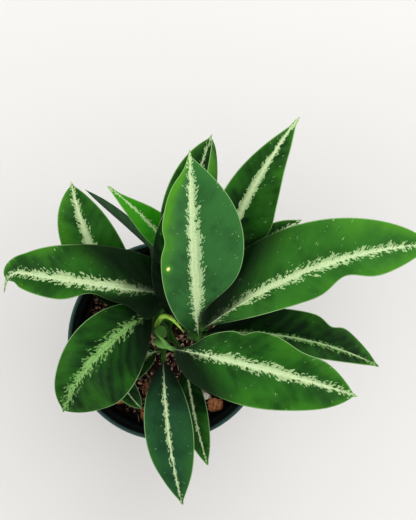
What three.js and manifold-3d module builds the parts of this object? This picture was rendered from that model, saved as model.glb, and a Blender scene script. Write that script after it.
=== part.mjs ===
// A dieffenbachia in a 6 inch nursery pot. Millimetres, +Z up.
// The origin is the centre of the pot's underside, on the surface it stands on.
// +X is the side of the longest leaf and -Y is the front.
import * as THREE from 'three';
import { mergeVertices } from 'three/addons/utils/BufferGeometryUtils.js';
import Module from 'manifold-3d';

const wasm = await Module();
wasm.setup();

// ---------------------------------------------------------------- driving dimensions
const GAP = 0.3;                 // clearance between pieces that touch

const POT_HEIGHT = 140;
const POT_RIM_RADIUS = 76;       // over the rolled lip: a 6 inch pot
const POT_BASE_RADIUS = 57;
const POT_WALL = 1.8;
const LIP_HEIGHT = 13;           // the straight band below the rim
const LIP_STEP = 3;              // how far the band stands out from the wall
const FOOT_RING_WIDTH = 5;
const FOOT_RECESS = 3;           // how far the floor is raised inside the foot ring
const CENTRE_DISC_RADIUS = 14;   // the flat disc in the middle of the underside
const FLOOR_THICKNESS = 2;
const DRAIN_HOLES = 6;
const DRAIN_HOLE_RADIUS = 5;
const DRAIN_CIRCLE_RADIUS = 36;
const POT_SEGMENTS = 56;

const SOIL_TOP = 118;
const SOIL_RIPPLE = 1.6;         // height of the lumps in the soil's surface
const SOCKET_BOTTOM = 94;        // how deep the canes go into the soil

const CANE_SIDES = 12;
const SCAR_HEIGHT = 0.5;         // how far a leaf scar's ring stands out

const PETIOLE_FOOT_RADIUS = 2.6;
const PETIOLE_NECK_RADIUS = 1.7;
const BLADE_HALF_THICKNESS = 0.5;
const MIDRIB_STEPS = 60;         // steps of the sum that gives the midrib
const TOP_LEAF_OFFSET = 1.5;     // how far off the cane's axis its top leaf stands
const SHEATH_FOLD = 60;          // how steeply the edges of an open sheath rise
const PETIOLE_STATIONS = 6;
const BLADE_STATIONS = 13;
const LOOP_POINTS = 8;           // points round one section of a leaf

const CANES = {
  cane_left: { at: [-4, 10], lean: [1, 1], radius: 6.5, top: 190, ring: 14 },
  cane_right: { at: [22, 9], lean: [-1, 0], radius: 6, top: 194, ring: 15 },
  cane_small: { at: [-44, -10], lean: [1, -2], radius: 3.5, top: 134, ring: 9 },
};

// node is the height on its cane where the petiole leaves it, facing the side of the cane
// it leaves on, in degrees, and base is where the blade starts. heading (0 is +X, 90 is +Y) and rise above level are in
// degrees, at the blade's base and at its tip. left and right are the half widths, belly is
// where along the blade each is widest, full is how pointed the ends are. fold is how
// steeply the halves rise from the midrib, cup how far they bend on to their margins, and
// roll turns the whole blade, left side up.
const LEAVES = {
  leaf_crown: {
    cane: 'cane_right', node: 194, facing: 60, base: [24, 12, 236],
    heading: [95, 90], rise: [48, -4], length: 134,
    left: 23, right: 34, belly: [0.5, 0.46], full: [1.6, 2], fold: 22, cup: -14, roll: [12, 18],
  },
  leaf_right_large: {
    cane: 'cane_right', node: 185, facing: 35, base: [29, 16, 228],
    heading: [38, 2], rise: [35, -30], length: 178,
    left: 33, right: 19, belly: [0.42, 0.56], full: [1.5, 1.7], fold: 24, cup: -26, roll: [0, 0],
  },
  leaf_right_low: {
    cane: 'cane_right', node: 152, facing: -15, base: [38, 7, 190],
    heading: [4, -30], rise: [22, -38], length: 129,
    left: 20, right: 13, belly: [0.5, 0.45], full: [2.1, 1.6], fold: 20, cup: -20, roll: [-8, -14],
  },
  leaf_back_right: {
    cane: 'cane_right', node: 169, facing: 78, base: [34, 44, 212],
    heading: [74, 52], rise: [34, -16], length: 136,
    left: 18, right: 23, belly: [0.48, 0.52], full: [2.4, 2.2], fold: 22, cup: -20, roll: [0, 0],
  },
  leaf_back_right_low: {
    cane: 'cane_right', node: 158, facing: 50, base: [34, 33, 188],
    heading: [58, 26], rise: [26, -24], length: 90,
    left: 13, right: 13, belly: [0.45, 0.45], full: [1.5, 1.5], fold: 24, cup: -20, roll: [0, 0],
  },
  leaf_back_curled: {
    cane: 'cane_right', node: 158, facing: 105, base: [20, 34, 188],
    heading: [99, 68], rise: [34, -14], length: 124,
    left: 22, right: 20, belly: [0.5, 0.5], full: [1.7, 1.6], fold: 22, cup: -22, roll: [0, 0],
  },
  leaf_left_long: {
    cane: 'cane_right', node: 177, facing: 140, base: [8, 38, 212],
    heading: [178, 170], rise: [22, -34], length: 130,
    left: 15, right: 32, belly: [0.76, 0.42], full: [2.6, 1.2], fold: 18, cup: -22, roll: [0, 0], hook: 60,
  },
  leaf_right_front: {
    cane: 'cane_left', node: 190, facing: -45, base: [8, 0, 222],
    heading: [-9, -20], rise: [26, -26], length: 135,
    left: 26, right: 27, belly: [0.56, 0.42], full: [2, 1.2], fold: 20, cup: -24, roll: [0, 0], sheath: 5,
  },
  leaf_inner_left: {
    cane: 'cane_left', node: 181, facing: 50, base: [8, 23, 204],
    heading: [98, 80], rise: [46, 4], length: 94,
    left: 14, right: 18, belly: [0.45, 0.45], full: [1.2, 1.2], fold: 22, cup: -20, roll: [0, 0],
  },
  leaf_front_left: {
    cane: 'cane_left', node: 174, facing: 140, base: [-9, 24, 204],
    heading: [208, 250], rise: [22, -46], length: 108,
    left: 34, right: 23, belly: [0.6, 0.4], full: [1.3, 1.5], fold: 18, cup: -24, roll: [0, 0],
  },
  leaf_back_left: {
    cane: 'cane_left', node: 160, facing: 170, base: [-19, 18, 180],
    heading: [130, 102], rise: [26, -20], length: 116,
    left: 20, right: 22, belly: [0.58, 0.52], full: [1.8, 1.8], fold: 22, cup: -22, roll: [0, 0],
  },
  leaf_back_left_folded: {
    cane: 'cane_left', node: 148, facing: 105, base: [-4, 62, 172],
    heading: [132, 142], rise: [22, -8], length: 76,
    left: 12, right: 12, belly: [0.45, 0.45], full: [1.3, 1.3], fold: 72, cup: 0, roll: [165, 175],
  },
  leaf_young_back_left: {
    cane: 'cane_left', node: 166, facing: 85, base: [7, 65, 186],
    heading: [124, 144], rise: [30, 8], length: 72,
    left: 11, right: 15, belly: [0.42, 0.36], full: [1.6, 1.6], fold: 26, cup: -8, roll: [20, 20],
  },
  leaf_front_left_low: {
    cane: 'cane_left', node: 160, facing: -110, base: [-7, -5, 178],
    heading: [192, 232], rise: [16, -34], length: 56,
    left: 15, right: 13, belly: [0.45, 0.45], full: [1.4, 1.4], fold: 20, cup: -20, roll: [0, 0],
  },
  leaf_front_long: {
    cane: 'cane_left', node: 168, facing: -72, base: [-1, -11, 196],
    heading: [-88, -77], rise: [18, -32], length: 110,
    left: 18, right: 17, belly: [0.46, 0.44], full: [1.8, 1.9], fold: 20, cup: -22, roll: [0, 0],
  },
  leaf_front_low: {
    cane: 'cane_left', node: 150, facing: -45, base: [15, -17, 168],
    heading: [-82, -74], rise: [12, -26], length: 78,
    left: 10, right: 11, belly: [0.42, 0.42], full: [1.5, 1.4], fold: 20, cup: -20, roll: [0, 0],
  },
  leaf_small_front_left: {
    cane: 'cane_small', node: 134, facing: -60, base: [-41, -18, 150],
    heading: [-64, -48], rise: [24, -34], length: 41,
    left: 9, right: 8, belly: [0.45, 0.45], full: [1.4, 1.4], fold: 20, cup: -20, roll: [0, 0],
  },
};

const NEW_SHOOT = { from: [-6, 14, 191], bend: [-1, 32, 216], tip: [14, 11, 213], radius: 2.4 };

// Loose pieces on the soil: place on the soil, half lengths, and turn in degrees.
const CHIPS = {
  bark_chip_1: { at: [-58, 2], half: [7, 4, 2.4], turn: 70 },
  bark_chip_2: { at: [-51, -27], half: [8, 4.5, 2.6], turn: 20 },
  bark_chip_3: { at: [-38, -46], half: [5, 3.2, 2.2], turn: 145 },
  bark_chip_4: { at: [-18, -57], half: [5, 3, 2.2], turn: 70 },
  bark_chip_5: { at: [-16, -38], half: [6, 4, 2.4], turn: 95 },
  bark_chip_6: { at: [36, -50], half: [6.5, 4, 3], turn: 36 },
  bark_chip_7: { at: [44, -34], half: [7, 4, 2.5], turn: 120 },
  bark_chip_8: { at: [-16, 56], half: [8, 4, 2.4], turn: 35 },
  bark_chip_9: { at: [32, 46], half: [8, 5, 2.6], turn: 100 },
  bark_chip_10: { at: [57, 6], half: [7, 4, 2.4], turn: 60 },
};
const PERLITE = {
  perlite_1: { at: [29, -44], half: [3.4, 2.8, 2.4], turn: 0 },
  perlite_2: { at: [-30, -33], half: [2.4, 2, 1.8], turn: 40 },
  perlite_3: { at: [8, 52], half: [2.6, 2.2, 2], turn: 80 },
};

// ---------------------------------------------------------------- materials
const plastic = new THREE.MeshStandardMaterial({ color: 0x16211d, roughness: 0.45, metalness: 0 });
const earth = new THREE.MeshStandardMaterial({ color: 0x2a1c15, roughness: 0.95, metalness: 0 });
const bark = new THREE.MeshStandardMaterial({ color: 0x6b3a24, roughness: 0.9, metalness: 0 });
const perlite = new THREE.MeshStandardMaterial({ color: 0xe8e5dc, roughness: 0.9, metalness: 0 });
const stem = new THREE.MeshStandardMaterial({ color: 0x5d8a3a, roughness: 0.55, metalness: 0 });
const leafGreen = new THREE.MeshStandardMaterial({ color: 0x2c6a2a, roughness: 0.45, metalness: 0 });
const youngGreen = new THREE.MeshStandardMaterial({ color: 0x8fb53c, roughness: 0.45, metalness: 0 });

// ---------------------------------------------------------------- helpers
const group = new THREE.Group();

function addMesh(name, geometry, material) {
  const mesh = new THREE.Mesh(geometry, material);
  mesh.name = name;
  group.add(mesh);
  return mesh;
}

const radians = THREE.MathUtils.degToRad;
const mix = THREE.MathUtils.lerp;
const smoothstep = THREE.MathUtils.smoothstep;

/** A closed solid through a list of sections with equal numbers of points, each a loop
 * that turns anticlockwise seen from beyond its end. The last section may be one point. */
function loft(sections) {
  const count = sections[0].length;
  const positions = [];
  const faces = [];
  sections.forEach((section) => section.forEach((point) => positions.push(point.x, point.y, point.z)));
  const pointed = sections[sections.length - 1].length === 1;
  const rings = pointed ? sections.length - 1 : sections.length;
  for (let ring = 0; ring + 1 < rings; ring += 1) {
    for (let side = 0; side < count; side += 1) {
      const a = ring * count + side;
      const b = ring * count + ((side + 1) % count);
      faces.push(a, b, b + count, a, b + count, a + count);
    }
  }
  const last = (rings - 1) * count;
  for (let side = 1; side + 1 < count; side += 1) {
    faces.push(0, side + 1, side);
    if (!pointed) faces.push(last, last + side, last + side + 1);
  }
  if (pointed) {
    for (let side = 0; side < count; side += 1) {
      faces.push(last + side, last + ((side + 1) % count), last + count);
    }
  }
  const geometry = new THREE.BufferGeometry();
  geometry.setAttribute('position', new THREE.Float32BufferAttribute(positions, 3));
  geometry.setIndex(faces);
  geometry.computeVertexNormals();
  return geometry;
}

function toSolid(geometry) {
  const bare = geometry.clone();
  bare.deleteAttribute('normal');
  bare.deleteAttribute('uv');
  const merged = mergeVertices(bare, 1e-3);
  return new wasm.Manifold(new wasm.Mesh({
    numProp: 3,
    vertProperties: new Float32Array(merged.attributes.position.array),
    triVerts: new Uint32Array(merged.index.array),
  }));
}

function toGeometry(solid) {
  const mesh = solid.getMesh();
  const geometry = new THREE.BufferGeometry();
  geometry.setAttribute('position', new THREE.Float32BufferAttribute(mesh.vertProperties, 3));
  geometry.setIndex(new THREE.Uint32BufferAttribute(mesh.triVerts, 1));
  geometry.computeVertexNormals();
  return geometry;
}

/** A lathe about +Z from [radius, height] pairs in order up the outside and down the inside. */
function turned(outline, segments) {
  const points = outline.map(([radius, height]) => new THREE.Vector2(radius, height));
  return new THREE.LatheGeometry(points, segments).rotateX(Math.PI / 2);
}

function upright(radius, bottom, top, x, y, segments) {
  return new THREE.CylinderGeometry(radius, radius, top - bottom, segments)
    .rotateX(Math.PI / 2)
    .translate(x, y, (top + bottom) / 2);
}

// ---------------------------------------------------------------- pot
const BAND_BOTTOM = POT_HEIGHT - LIP_HEIGHT;
const WALL_TOP_RADIUS = POT_RIM_RADIUS - LIP_STEP - 1;

/** Outside radius of the tapered wall at a height. */
function wallRadius(height) {
  return mix(POT_BASE_RADIUS, WALL_TOP_RADIUS, height / BAND_BOTTOM);
}

function makePot() {
  const floorTop = FOOT_RECESS + FLOOR_THICKNESS;
  const ringInside = POT_BASE_RADIUS - FOOT_RING_WIDTH;
  const outline = [
    [0, 0],
    [CENTRE_DISC_RADIUS, 0],
    [CENTRE_DISC_RADIUS + 2, FOOT_RECESS],
    [ringInside - 2, FOOT_RECESS],
    [ringInside, 0],
    [POT_BASE_RADIUS - 1, 0],
    [POT_BASE_RADIUS, 1],
    [wallRadius(BAND_BOTTOM), BAND_BOTTOM],
    [POT_RIM_RADIUS - 1, BAND_BOTTOM + 1],
    [POT_RIM_RADIUS - 0.8, POT_HEIGHT - 4],
    [POT_RIM_RADIUS, POT_HEIGHT - 3],
    [POT_RIM_RADIUS, POT_HEIGHT - 1],
    [POT_RIM_RADIUS - 0.9, POT_HEIGHT],
    [POT_RIM_RADIUS - 2.2, POT_HEIGHT],
    [POT_RIM_RADIUS - 2.9, POT_HEIGHT - 1],
    [POT_RIM_RADIUS - 1 - POT_WALL, BAND_BOTTOM + 3],
    [wallRadius(BAND_BOTTOM) - POT_WALL, BAND_BOTTOM],
    [wallRadius(floorTop) - POT_WALL, floorTop],
    [0, floorTop],
  ];
  let pot = toSolid(turned(outline, POT_SEGMENTS));
  for (let hole = 0; hole < DRAIN_HOLES; hole += 1) {
    const angle = (hole / DRAIN_HOLES) * 2 * Math.PI;
    const x = DRAIN_CIRCLE_RADIUS * Math.cos(angle);
    const y = DRAIN_CIRCLE_RADIUS * Math.sin(angle);
    pot = pot.subtract(toSolid(upright(DRAIN_HOLE_RADIUS, -1, floorTop + 1, x, y, 12)));
  }
  return toGeometry(pot);
}

// ---------------------------------------------------------------- canes
/** Centre of a cane at a height: it leans evenly from the soil upwards. */
function caneCentre(cane, height) {
  const along = (height - SOIL_TOP) / (cane.top - SOIL_TOP);
  return new THREE.Vector3(
    cane.at[0] + cane.lean[0] * along,
    cane.at[1] + cane.lean[1] * along,
    height,
  );
}

/** A solid round the cane's centre line, whose radius is given for each height. */
function aroundCane(cane, bottom, top, stations, radiusAt) {
  const sections = [];
  for (let station = 0; station <= stations; station += 1) {
    const centre = caneCentre(cane, mix(bottom, top, station / stations));
    const radius = radiusAt(station);
    const loop = [];
    for (let side = 0; side < CANE_SIDES; side += 1) {
      const angle = (side / CANE_SIDES) * 2 * Math.PI;
      loop.push(new THREE.Vector3(radius * Math.cos(angle), radius * Math.sin(angle), 0).add(centre));
    }
    sections.push(loop);
  }
  return loft(sections);
}

/** A cane tapers slightly upwards and has a low ring at each old leaf scar. */
function makeCane(cane) {
  const stations = 3 * Math.round((cane.top - SOCKET_BOTTOM) / cane.ring);
  return aroundCane(cane, SOCKET_BOTTOM, cane.top, stations, (station) => {
    const taper = mix(1, 0.92, station / stations);
    return cane.radius * taper + (station % 3 === 1 ? SCAR_HEIGHT : 0);
  });
}

function makeSocket(cane) {
  const radius = cane.radius + SCAR_HEIGHT + GAP;
  return aroundCane(cane, SOCKET_BOTTOM - GAP, SOIL_TOP + 10, 2, () => radius);
}

// ---------------------------------------------------------------- soil
function soilHeight(x, y) {
  const lumps = Math.sin(x * 0.19 + 1) * Math.cos(y * 0.17) + 0.5 * Math.sin((x + 2 * y) * 0.13);
  return SOIL_TOP + SOIL_RIPPLE * lumps;
}

function makeSoil() {
  const bottom = FOOT_RECESS + FLOOR_THICKNESS + GAP;
  const segments = POT_SEGMENTS;
  const rings = 7;
  const edge = (height) => (wallRadius(height) - POT_WALL - GAP) * Math.cos(Math.PI / segments);
  const ringAt = (radius, heightAt) => {
    const loop = [];
    for (let side = 0; side < segments; side += 1) {
      const angle = (side / segments) * 2 * Math.PI;
      const x = radius * Math.cos(angle);
      const y = radius * Math.sin(angle);
      loop.push(new THREE.Vector3(x, y, heightAt(x, y)));
    }
    return loop;
  };
  const lowest = SOIL_TOP - 2 * SOIL_RIPPLE;
  const sections = [ringAt(edge(bottom), () => bottom), ringAt(edge(lowest), () => lowest)];
  for (let ring = 0; ring < rings; ring += 1) {
    const radius = edge(lowest) * mix(0.99, 0.03, ring / (rings - 1));
    sections.push(ringAt(radius, soilHeight));
  }
  sections.push([new THREE.Vector3(0, 0, soilHeight(0, 0))]);
  let soil = toSolid(loft(sections));
  Object.values(CANES).forEach((cane) => {
    soil = soil.subtract(toSolid(makeSocket(cane)));
  });
  return toGeometry(soil);
}

// ---------------------------------------------------------------- leaves
/** Midrib of a blade: short straight steps, whose heading and rise change evenly from
 * base to tip, added up. A hook turns the last tenth further sideways. */
function midrib(leaf) {
  const step = leaf.length / MIDRIB_STEPS;
  const place = new THREE.Vector3(...leaf.base);
  const points = [];
  for (let index = 0; index <= MIDRIB_STEPS; index += 1) {
    const s = index / MIDRIB_STEPS;
    const heading = radians(mix(leaf.heading[0], leaf.heading[1], s) + (leaf.hook ?? 0) * s ** 10);
    const rise = radians(mix(leaf.rise[0], leaf.rise[1], s));
    const ahead = new THREE.Vector3(
      Math.cos(rise) * Math.cos(heading),
      Math.cos(rise) * Math.sin(heading),
      Math.sin(rise),
    );
    const left = new THREE.Vector3(-Math.sin(heading), Math.cos(heading), 0);
    points.push({ place: place.clone(), ahead, left });
    place.addScaledVector(ahead, step);
  }
  return points;
}

/** Half width of a blade at s: zero at both ends and the full half width at the belly. */
function halfWidth(s, half, belly, full) {
  const before = full * belly;
  const after = full * (1 - belly);
  return half * (s / belly) ** before * ((1 - s) / (1 - belly)) ** after;
}

/** One section of a leaf: an ellipse, half widths by half thickness, whose two halves are
 * bent up from the midrib by fold and on to the margins by cup. */
function leafSection({ place, ahead, left }, shape) {
  const side = left.clone().addScaledVector(ahead, -left.dot(ahead)).normalize();
  const up = new THREE.Vector3().crossVectors(ahead, side);
  const roll = radians(shape.roll);
  const across = side.clone().multiplyScalar(Math.cos(roll)).addScaledVector(up, Math.sin(roll));
  const above = up.clone().multiplyScalar(Math.cos(roll)).addScaledVector(side, -Math.sin(roll));
  const loop = [];
  for (let index = 0; index < LOOP_POINTS; index += 1) {
    const angle = (index / LOOP_POINTS) * 2 * Math.PI;
    const t = Math.cos(angle);
    const width = t >= 0 ? shape.left : shape.right;
    const reach = Math.abs(t);
    const bend = radians(shape.fold + (shape.cup * reach) / 2);
    loop.push(place.clone()
      .addScaledVector(across, width * t * Math.cos(bend))
      .addScaledVector(above, width * reach * Math.sin(bend) + shape.thick * Math.sin(angle)));
  }
  return loop;
}

/** The petiole rises from the cane and turns into the direction of the blade. */
function petioleCurve(leaf) {
  const cane = CANES[leaf.cane];
  const base = new THREE.Vector3(...leaf.base);
  const foot = caneCentre(cane, leaf.node);
  const facing = radians(leaf.facing);
  const outward = new THREE.Vector3(Math.cos(facing), Math.sin(facing), 0);
  if (leaf.node < cane.top) {
    foot.addScaledVector(outward, cane.radius + SCAR_HEIGHT + GAP + PETIOLE_FOOT_RADIUS);
  } else {
    foot.addScaledVector(outward, TOP_LEAF_OFFSET).setZ(leaf.node + 3 * GAP);
  }
  const span = foot.distanceTo(base);
  const spread = leaf.node < cane.top ? 0.2 : 0.02;
  const start = foot.clone().addScaledVector(outward, span * spread).setZ(foot.z + span * 0.3);
  const end = base.clone().addScaledVector(midrib(leaf)[0].ahead, -span * 0.35);
  return new THREE.CubicBezierCurve3(foot, start, end, base);
}

function makeLeaf(leaf) {
  const sections = [];
  const curve = petioleCurve(leaf);
  const ribs = midrib(leaf);
  for (let station = 0; station < PETIOLE_STATIONS; station += 1) {
    const u = station / PETIOLE_STATIONS;
    const radius = mix(PETIOLE_FOOT_RADIUS, PETIOLE_NECK_RADIUS, smoothstep(u, 0, 0.7));
    const rib = { place: curve.getPoint(u), ahead: curve.getTangent(u), left: ribs[0].left };
    const open = Math.sin(Math.PI * Math.min(1, 1.25 * u)) * (leaf.sheath ? 1 : 0);
    const reach = radius + open * (leaf.sheath ?? 0);
    sections.push(leafSection(rib, {
      left: reach, right: reach, thick: mix(radius, 1, open), fold: SHEATH_FOLD * open, cup: 0, roll: leaf.roll[0] * u,
    }));
  }
  for (let station = 0; station < BLADE_STATIONS; station += 1) {
    const s = (1 - Math.cos((station / BLADE_STATIONS) * Math.PI)) / 2;
    const rib = ribs[Math.round(s * MIDRIB_STEPS)];
    const flat = smoothstep(s, 0, 0.14);
    const neck = mix(PETIOLE_NECK_RADIUS, 0, flat);
    sections.push(leafSection(rib, {
      left: Math.max(neck, halfWidth(s, leaf.left, leaf.belly[0], leaf.full[0])),
      right: Math.max(neck, halfWidth(s, leaf.right, leaf.belly[1], leaf.full[1])),
      thick: mix(PETIOLE_NECK_RADIUS, BLADE_HALF_THICKNESS, flat),
      fold: leaf.fold * flat,
      cup: leaf.cup * flat,
      roll: mix(leaf.roll[0], leaf.roll[1], s),
    }));
  }
  sections.push([ribs[MIDRIB_STEPS].place]);
  return loft(sections);
}

/** The new leaf is still rolled: a spear that bends over and tapers to a point. */
function makeShoot(shoot) {
  const curve = new THREE.QuadraticBezierCurve3(
    new THREE.Vector3(...shoot.from),
    new THREE.Vector3(...shoot.bend),
    new THREE.Vector3(...shoot.tip),
  );
  const stations = 9;
  const sections = [];
  for (let station = 0; station < stations; station += 1) {
    const u = station / stations;
    const radius = shoot.radius * Math.sqrt(1 - u) * mix(0.7, 1, smoothstep(u, 0, 0.3));
    const rib = { place: curve.getPoint(u), ahead: curve.getTangent(u), left: new THREE.Vector3(-1, 0, 0) };
    sections.push(leafSection(rib, { left: radius, right: radius, thick: radius, fold: 0, cup: 0, roll: 0 }));
  }
  sections.push([curve.getPoint(1)]);
  return loft(sections);
}

// ---------------------------------------------------------------- loose pieces on the soil
/** A chip is a rounded block with its faces pushed in and out by a slow wave. */
function makeChip(chip, index) {
  const bare = new THREE.IcosahedronGeometry(1, 1);
  bare.deleteAttribute('normal');
  bare.deleteAttribute('uv');
  const geometry = mergeVertices(bare, 1e-3);
  const position = geometry.attributes.position;
  for (let vertex = 0; vertex < position.count; vertex += 1) {
    const x = position.getX(vertex);
    const y = position.getY(vertex);
    const z = position.getZ(vertex);
    const push = 1 + 0.14 * Math.sin(4 * x + index) * Math.cos(3 * y - index);
    position.setXYZ(
      vertex,
      Math.sign(x) * Math.abs(x) ** 0.8 * chip.half[0] * push,
      Math.sign(y) * Math.abs(y) ** 0.8 * chip.half[1] * push,
      Math.sign(z) * Math.abs(z) ** 0.8 * chip.half[2],
    );
  }
  geometry.rotateZ(radians(chip.turn));
  const lift = SOIL_TOP + SOIL_RIPPLE * 1.5 + chip.half[2] + GAP;
  geometry.translate(chip.at[0], chip.at[1], lift);
  geometry.computeVertexNormals();
  return geometry;
}

// ---------------------------------------------------------------- assembly
addMesh('pot', makePot(), plastic);
addMesh('soil', makeSoil(), earth);
Object.entries(CANES).forEach(([name, cane]) => {
  addMesh(name, makeCane(cane), stem);
});
Object.entries(LEAVES).forEach(([name, leaf]) => addMesh(name, makeLeaf(leaf), leafGreen));
addMesh('new_shoot', makeShoot(NEW_SHOOT), youngGreen);
Object.entries(CHIPS).forEach(([name, chip], index) => addMesh(name, makeChip(chip, index), bark));
Object.entries(PERLITE).forEach(([name, grain], index) => addMesh(name, makeChip(grain, index), perlite));

export default group;
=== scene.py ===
"""A dieffenbachia in a nursery pot: the looks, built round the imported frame. Metres, +Z up.

Every leaf, the canes, the soil, the pot and the loose bark are surfaces worked out with numpy.
A leaf is one closed skin from the foot of its petiole to the tip of its blade.
"""

import enum
import logging
import math
from dataclasses import dataclass, field

import bpy
import numpy as np
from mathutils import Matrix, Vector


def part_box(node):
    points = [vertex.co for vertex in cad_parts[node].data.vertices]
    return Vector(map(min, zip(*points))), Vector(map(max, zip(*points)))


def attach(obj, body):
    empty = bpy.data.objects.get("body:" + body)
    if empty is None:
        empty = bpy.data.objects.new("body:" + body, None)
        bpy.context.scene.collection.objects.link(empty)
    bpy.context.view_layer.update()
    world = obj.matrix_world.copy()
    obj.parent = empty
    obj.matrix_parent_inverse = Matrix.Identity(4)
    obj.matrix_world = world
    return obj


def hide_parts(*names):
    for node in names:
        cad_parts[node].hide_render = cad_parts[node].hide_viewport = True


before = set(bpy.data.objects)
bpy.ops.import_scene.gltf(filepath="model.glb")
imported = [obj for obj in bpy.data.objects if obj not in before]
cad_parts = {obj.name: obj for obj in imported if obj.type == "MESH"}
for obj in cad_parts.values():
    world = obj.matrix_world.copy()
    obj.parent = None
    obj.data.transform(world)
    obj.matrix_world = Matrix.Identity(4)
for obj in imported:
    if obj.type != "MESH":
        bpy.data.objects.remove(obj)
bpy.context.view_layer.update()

log = logging.getLogger("dieffenbachia")
Array = np.ndarray
BODY = "root"
MM = 0.001
VEIN_SLANT = 0.85  # how far a side vein runs forward for each unit that it goes out


# ---------------------------------------------------------------- number helpers
def mix(low: float | Array, high: float | Array, share: float | Array) -> float | Array:
    """The value that lies share of the way from low to high."""
    return low + (high - low) * share


def smoothstep(value: Array, low: float, high: float) -> Array:
    """0 below low, 1 above high, and a cubic between them."""
    share = np.clip((value - low) / (high - low), 0.0, 1.0)
    return share * share * (3.0 - 2.0 * share)


def unit(vectors: Array) -> Array:
    """The vectors, each divided by its own length."""
    return vectors / np.maximum(np.linalg.norm(vectors, axis=-1, keepdims=True), 1e-12)


def lumps(x: Array, y: Array, seed: float) -> Array:
    """Smooth uneven ground between about -1 and 1: five slow waves at odd angles, added."""
    total = np.zeros_like(x)
    for wave in range(5):
        angle = 2.4 * wave + seed
        scale = 1.0 + 0.45 * wave
        total = total + np.sin((x * np.cos(angle) + y * np.sin(angle)) * scale + 1.7 * wave * seed + wave)
    return total / 3.0


# ---------------------------------------------------------------- mesh helpers
def make_piece(
    name: str,
    points: Array,
    faces: Array,
    uv_layers: dict[str, Array] | None = None,
    tints: Array | None = None,
) -> bpy.types.Object:
    """A smooth-shaded mesh object at the origin.

    Args:
        name: The piece's name.
        points: Vertex places, one row each.
        faces: Corner numbers, one face a row, all with equal numbers of corners.
        uv_layers: For each UV map its name and one coordinate pair per face corner.
        tints: One number from 0 to 1 for each vertex, kept as the attribute "tint".

    Returns:
        The new object, linked to the scene.
    """
    mesh = bpy.data.meshes.new(name)
    corners = faces.shape[1]
    mesh.vertices.add(len(points))
    mesh.vertices.foreach_set("co", np.asarray(points, np.float32).ravel())
    mesh.loops.add(faces.size)
    mesh.loops.foreach_set("vertex_index", faces.astype(np.int32).ravel())
    mesh.polygons.add(len(faces))
    mesh.polygons.foreach_set("loop_start", np.arange(0, faces.size, corners, dtype=np.int32))
    mesh.polygons.foreach_set("use_smooth", np.ones(len(faces), bool))
    mesh.update(calc_edges=True)
    for layer_name, coordinates in (uv_layers or {}).items():
        layer = mesh.uv_layers.new(name=layer_name)
        layer.data.foreach_set("uv", np.asarray(coordinates, np.float32).ravel())
    if tints is not None:
        attribute = mesh.attributes.new("tint", "FLOAT", "POINT")
        attribute.data.foreach_set("value", np.asarray(tints, np.float32))
    mesh.validate()
    piece = bpy.data.objects.new(name, mesh)
    bpy.context.scene.collection.objects.link(piece)
    return piece


def ring_faces(rings: int, around: int) -> Array:
    """Triangles between closed rings of equal point counts, facing away from the axis."""
    ring, side = np.meshgrid(np.arange(rings - 1), np.arange(around), indexing="ij")
    after = (side + 1) % around
    a, b = ring * around + side, ring * around + after
    c, d = b + around, a + around
    return np.concatenate([
        np.stack([a, b, c], -1).reshape(-1, 3),
        np.stack([a, c, d], -1).reshape(-1, 3),
    ])


def cap_faces(first: int, around: int, centre: int, outwards: bool) -> Array:
    """A fan of triangles from one ring of points to its centre point."""
    side = np.arange(around)
    after = (side + 1) % around
    middle = np.full(around, centre)
    order = [first + side, first + after, middle] if outwards else [first + after, first + side, middle]
    return np.stack(order, -1)


def closed_skin(rings: Array) -> tuple[Array, Array]:
    """A closed surface through rings of points, with its two ends brought to a point.

    Args:
        rings: Places, stations by points round by 3, anticlockwise seen from the far end.

    Returns:
        The vertex places and the triangles.
    """
    stations, around = rings.shape[:2]
    ends = np.stack([rings[0].mean(0), rings[-1].mean(0)])
    points = np.concatenate([rings.reshape(-1, 3), ends])
    faces = np.concatenate([
        ring_faces(stations, around),
        cap_faces(0, around, stations * around, False),
        cap_faces((stations - 1) * around, around, stations * around + 1, True),
    ])
    return points, faces


# ---------------------------------------------------------------- shader helpers
class Socket:
    """A shader value that can be added, multiplied and compared as Python numbers are."""

    def __init__(self, finish: "Shader", link: bpy.types.NodeSocket) -> None:
        """Keeps the node tree and the output socket."""
        self.finish = finish
        self.link = link

    def _math(self, operation: str, *values: "Socket | float") -> "Socket":
        """One Math node on this value and others."""
        return self.finish.node("ShaderNodeMath", {"operation": operation}, *values)

    def __add__(self, other: "Socket | float") -> "Socket":
        """Sum."""
        return self._math("ADD", self, other)

    def __sub__(self, other: "Socket | float") -> "Socket":
        """Difference."""
        return self._math("SUBTRACT", self, other)

    def __mul__(self, other: "Socket | float") -> "Socket":
        """Product."""
        return self._math("MULTIPLY", self, other)

    def __truediv__(self, other: "Socket | float") -> "Socket":
        """Quotient."""
        return self._math("DIVIDE", self, other)

    def __rsub__(self, other: float) -> "Socket":
        """A number minus this value."""
        return self._math("SUBTRACT", other, self)

    __radd__ = __add__
    __rmul__ = __mul__

    def __gt__(self, other: "Socket | float") -> "Socket":
        """1 where this value is the greater."""
        return self._math("GREATER_THAN", self, other)

    def __pow__(self, power: float) -> "Socket":
        """This value to a power."""
        return self._math("POWER", self, power)

    def size(self) -> "Socket":
        """The value without its sign."""
        return self._math("ABSOLUTE", self)

    def sine(self) -> "Socket":
        """Sine of the value in radians."""
        return self._math("SINE", self)

    def rise(self, low: float, high: float) -> "Socket":
        """0 to 1 as the value goes smoothly from low to high; low may be the greater."""
        return self.finish.node(
            "ShaderNodeMapRange",
            {"interpolation_type": "SMOOTHSTEP"},
            self, min(low, high), max(low, high), float(low > high), float(low < high),
        )


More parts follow.
